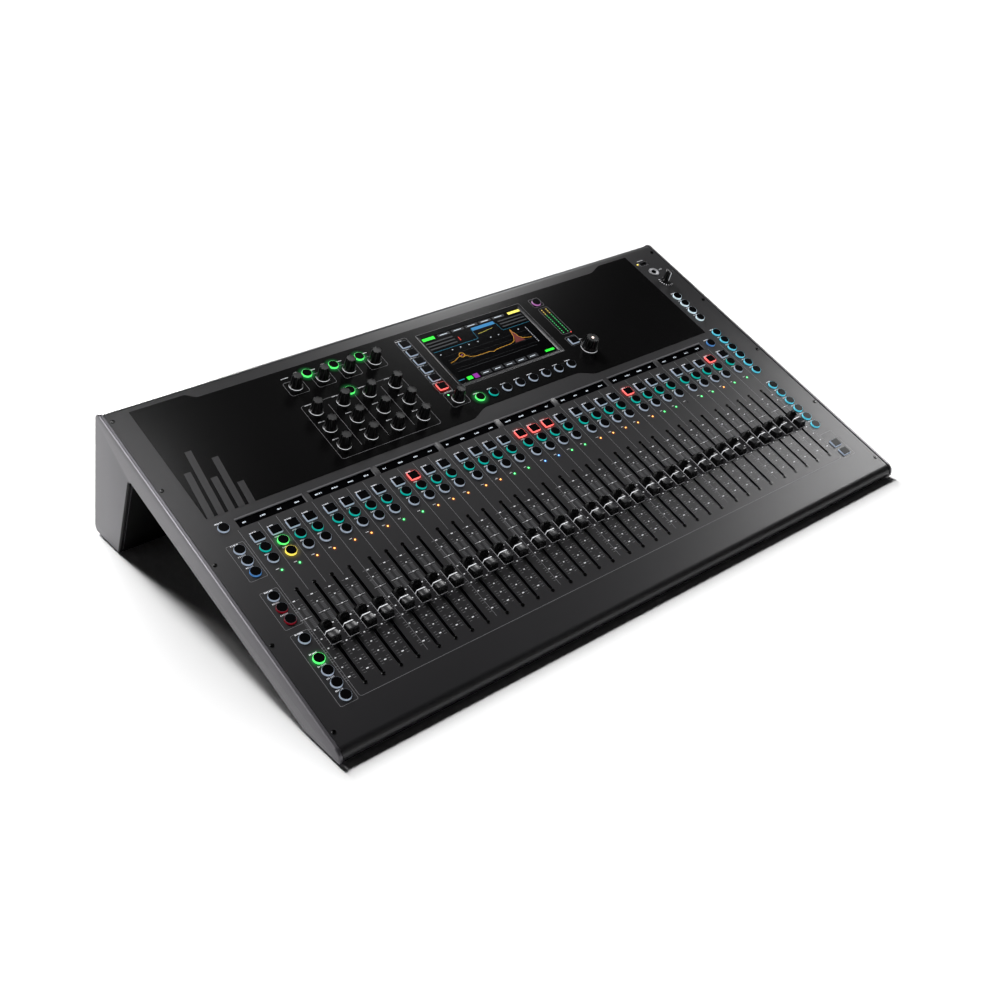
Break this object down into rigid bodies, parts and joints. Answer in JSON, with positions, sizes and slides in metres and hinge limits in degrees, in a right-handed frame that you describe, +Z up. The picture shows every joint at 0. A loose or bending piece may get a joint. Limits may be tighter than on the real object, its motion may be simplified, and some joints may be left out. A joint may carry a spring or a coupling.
{
  "type": "mixing console",
  "caption": "Sloping digital mixing console with sliding faders, rotary encoders, lit keys, a touch screen and rear sockets.",
  "frame": {"origin": "on the ground under the centre of the object's box", "axes": "+X to the right for the person at the console, +Y from the front edge to the connector panel, +Z up"},
  "size_m": [0.8, 0.499, 0.1785],
  "materials": {
    "panel_powder_coat": "fine satin powder coat",
    "pan_powder_coat": "fine matt powder coat",
    "cheek_paint": "satin metallic grey paint",
    "zinc_steel": "bright zinc",
    "connector_plastic": "moulded",
    "fader_plastic": "satin moulded",
    "knob_plastic": "fluted soft-touch",
    "switch_plastic": "gloss",
    "key_plastic": "translucent rim round a black top",
    "screen_glass": "black glass",
    "foot_rubber": "matt"
  },
  "bodies": {
    "console": {"top_panel": "panel_powder_coat", "left_cheek": "cheek_paint", "right_cheek": "cheek_paint", "base_pan": "pan_powder_coat", "rear_panel": "pan_powder_coat", "input_board": "connector_plastic", "output_board": "connector_plastic", "mains_inlet": "connector_plastic", "fader_rack": "zinc_steel", "encoder_board": "key_plastic", "screen_key_board": "key_plastic", "channel_key_board": "key_plastic", "right_key_board": "key_plastic", "socket_board": "zinc_steel", "display_bar": "screen_glass", "touch_screen": "screen_glass", "power_supply": "zinc_steel", "front_foot": "foot_rubber", "rear_foot": "foot_rubber"},
    "fader_01": {"fader_01": "fader_plastic"},
    "fader_02": {"fader_02": "fader_plastic"},
    "fader_03": {"fader_03": "fader_plastic"},
    "fader_04": {"fader_04": "fader_plastic"},
    "fader_05": {"fader_05": "fader_plastic"},
    "fader_06": {"fader_06": "fader_plastic"},
    "fader_07": {"fader_07": "fader_plastic"},
    "fader_08": {"fader_08": "fader_plastic"},
    "fader_09": {"fader_09": "fader_plastic"},
    "fader_10": {"fader_10": "fader_plastic"},
    "fader_11": {"fader_11": "fader_plastic"},
    "fader_12": {"fader_12": "fader_plastic"},
    "fader_13": {"fader_13": "fader_plastic"},
    "fader_14": {"fader_14": "fader_plastic"},
    "fader_15": {"fader_15": "fader_plastic"},
    "fader_16": {"fader_16": "fader_plastic"},
    "fader_17": {"fader_17": "fader_plastic"},
    "fader_18": {"fader_18": "fader_plastic"},
    "fader_19": {"fader_19": "fader_plastic"},
    "fader_20": {"fader_20": "fader_plastic"},
    "fader_21": {"fader_21": "fader_plastic"},
    "fader_22": {"fader_22": "fader_plastic"},
    "fader_23": {"fader_23": "fader_plastic"},
    "fader_24": {"fader_24": "fader_plastic"},
    "fader_25": {"fader_25": "fader_plastic"},
    "fader_26": {"fader_26": "fader_plastic"},
    "fader_27": {"fader_27": "fader_plastic"},
    "fader_28": {"fader_28": "fader_plastic"},
    "fader_29": {"fader_29": "fader_plastic"},
    "fader_30": {"fader_30": "fader_plastic"},
    "fader_31": {"fader_31": "fader_plastic"},
    "fader_32": {"fader_32": "fader_plastic"},
    "master_fader": {"master_fader": "fader_plastic"},
    "preamp_knob_1": {"preamp_knob_1": "knob_plastic"},
    "preamp_knob_2": {"preamp_knob_2": "knob_plastic"},
    "preamp_knob_3": {"preamp_knob_3": "knob_plastic"},
    "preamp_knob_4": {"preamp_knob_4": "knob_plastic"},
    "screen_select_knob": {"screen_select_knob": "knob_plastic"},
    "screen_rotary_knob": {"screen_rotary_knob": "knob_plastic"},
    "phones_knob": {"phones_knob": "knob_plastic"},
    "power_switch": {"power_switch": "switch_plastic"}
  },
  "joints": [
    {"name": "fader_01_slide", "type": "slide", "parent": "console", "child": "fader_01", "axis": [0, 0.935, 0.3546], "range_m": [-0.051, 0.049]},
    {"name": "fader_02_slide", "type": "slide", "parent": "console", "child": "fader_02", "axis": [0, 0.935, 0.3546], "range_m": [-0.051, 0.049]},
    {"name": "fader_03_slide", "type": "slide", "parent": "console", "child": "fader_03", "axis": [0, 0.935, 0.3546], "range_m": [-0.051, 0.049]},
    {"name": "fader_04_slide", "type": "slide", "parent": "console", "child": "fader_04", "axis": [0, 0.935, 0.3546], "range_m": [-0.051, 0.049]},
    {"name": "fader_05_slide", "type": "slide", "parent": "console", "child": "fader_05", "axis": [0, 0.935, 0.3546], "range_m": [-0.051, 0.049]},
    {"name": "fader_06_slide", "type": "slide", "parent": "console", "child": "fader_06", "axis": [0, 0.935, 0.3546], "range_m": [-0.051, 0.049]},
    {"name": "fader_07_slide", "type": "slide", "parent": "console", "child": "fader_07", "axis": [0, 0.935, 0.3546], "range_m": [-0.051, 0.049]},
    {"name": "fader_08_slide", "type": "slide", "parent": "console", "child": "fader_08", "axis": [0, 0.935, 0.3546], "range_m": [-0.051, 0.049]},
    {"name": "fader_09_slide", "type": "slide", "parent": "console", "child": "fader_09", "axis": [0, 0.935, 0.3546], "range_m": [-0.051, 0.049]},
    {"name": "fader_10_slide", "type": "slide", "parent": "console", "child": "fader_10", "axis": [0, 0.935, 0.3546], "range_m": [-0.051, 0.049]},
    {"name": "fader_11_slide", "type": "slide", "parent": "console", "child": "fader_11", "axis": [0, 0.935, 0.3546], "range_m": [-0.051, 0.049]},
    {"name": "fader_12_slide", "type": "slide", "parent": "console", "child": "fader_12", "axis": [0, 0.935, 0.3546], "range_m": [-0.051, 0.049]},
    {"name": "fader_13_slide", "type": "slide", "parent": "console", "child": "fader_13", "axis": [0, 0.935, 0.3546], "range_m": [-0.051, 0.049]},
    {"name": "fader_14_slide", "type": "slide", "parent": "console", "child": "fader_14", "axis": [0, 0.935, 0.3546], "range_m": [-0.051, 0.049]},
    {"name": "fader_15_slide", "type": "slide", "parent": "console", "child": "fader_15", "axis": [0, 0.935, 0.3546], "range_m": [-0.051, 0.049]},
    {"name": "fader_16_slide", "type": "slide", "parent": "console", "child": "fader_16", "axis": [0, 0.935, 0.3546], "range_m": [-0.051, 0.049]},
    {"name": "fader_17_slide", "type": "slide", "parent": "console", "child": "fader_17", "axis": [0, 0.935, 0.3546], "range_m": [-0.051, 0.049]},
    {"name": "fader_18_slide", "type": "slide", "parent": "console", "child": "fader_18", "axis": [0, 0.935, 0.3546], "range_m": [-0.051, 0.049]},
    {"name": "fader_19_slide", "type": "slide", "parent": "console", "child": "fader_19", "axis": [0, 0.935, 0.3546], "range_m": [-0.051, 0.049]},
    {"name": "fader_20_slide", "type": "slide", "parent": "console", "child": "fader_20", "axis": [0, 0.935, 0.3546], "range_m": [-0.051, 0.049]},
    {"name": "fader_21_slide", "type": "slide", "parent": "console", "child": "fader_21", "axis": [0, 0.935, 0.3546], "range_m": [-0.051, 0.049]},
    {"name": "fader_22_slide", "type": "slide", "parent": "console", "child": "fader_22", "axis": [0, 0.935, 0.3546], "range_m": [-0.051, 0.049]},
    {"name": "fader_23_slide", "type": "slide", "parent": "console", "child": "fader_23", "axis": [0, 0.935, 0.3546], "range_m": [-0.051, 0.049]},
    {"name": "fader_24_slide", "type": "slide", "parent": "console", "child": "fader_24", "axis": [0, 0.935, 0.3546], "range_m": [-0.051, 0.049]},
    {"name": "fader_25_slide", "type": "slide", "parent": "console", "child": "fader_25", "axis": [0, 0.935, 0.3546], "range_m": [-0.051, 0.049]},
    {"name": "fader_26_slide", "type": "slide", "parent": "console", "child": "fader_26", "axis": [0, 0.935, 0.3546], "range_m": [-0.051, 0.049]},
    {"name": "fader_27_slide", "type": "slide", "parent": "console", "child": "fader_27", "axis": [0, 0.935, 0.3546], "range_m": [-0.051, 0.049]},
    {"name": "fader_28_slide", "type": "slide", "parent": "console", "child": "fader_28", "axis": [0, 0.935, 0.3546], "range_m": [-0.051, 0.049]},
    {"name": "fader_29_slide", "type": "slide", "parent": "console", "child": "fader_29", "axis": [0, 0.935, 0.3546], "range_m": [-0.051, 0.049]},
    {"name": "fader_30_slide", "type": "slide", "parent": "console", "child": "fader_30", "axis": [0, 0.935, 0.3546], "range_m": [-0.051, 0.049]},
    {"name": "fader_31_slide", "type": "slide", "parent": "console", "child": "fader_31", "axis": [0, 0.935, 0.3546], "range_m": [-0.051, 0.049]},
    {"name": "fader_32_slide", "type": "slide", "parent": "console", "child": "fader_32", "axis": [0, 0.935, 0.3546], "range_m": [-0.051, 0.049]},
    {"name": "master_fader_slide", "type": "slide", "parent": "console", "child": "master_fader", "axis": [0, 0.935, 0.3546], "range_m": [-0.051, 0.049]},
    {"name": "preamp_knob_1_turn", "type": "hinge", "parent": "console", "child": "preamp_knob_1", "pos_m": [-0.191, 0.13554, 0.16069], "axis": [0, -0.3546, 0.935], "continuous": true},
    {"name": "preamp_knob_2_turn", "type": "hinge", "parent": "console", "child": "preamp_knob_2", "pos_m": [-0.156, 0.13554, 0.16069], "axis": [0, -0.3546, 0.935], "continuous": true},
    {"name": "preamp_knob_3_turn", "type": "hinge", "parent": "console", "child": "preamp_knob_3", "pos_m": [-0.121, 0.13554, 0.16069], "axis": [0, -0.3546, 0.935], "continuous": true},
    {"name": "preamp_knob_4_turn", "type": "hinge", "parent": "console", "child": "preamp_knob_4", "pos_m": [-0.086, 0.13554, 0.16069], "axis": [0, -0.3546, 0.935], "continuous": true},
    {"name": "screen_select_knob_turn", "type": "hinge", "parent": "console", "child": "screen_select_knob", "pos_m": [-0.0322, 0.05017, 0.12831], "axis": [0, -0.3546, 0.935], "continuous": true},
    {"name": "screen_rotary_knob_turn", "type": "hinge", "parent": "console", "child": "screen_rotary_knob", "pos_m": [0.1754, 0.05513, 0.13019], "axis": [0, -0.3546, 0.935], "continuous": true},
    {"name": "phones_knob_turn", "type": "hinge", "parent": "console", "child": "phones_knob", "pos_m": [0.3687, 0.11347, 0.15232], "axis": [0, -0.3546, 0.935], "range_deg": [-60, 240]},
    {"name": "power_switch_rock", "type": "hinge", "parent": "console", "child": "power_switch", "pos_m": [0.33, 0.22049, 0.07205], "axis": [1, 0, 0], "range_deg": [-18, 0]}
  ]
}
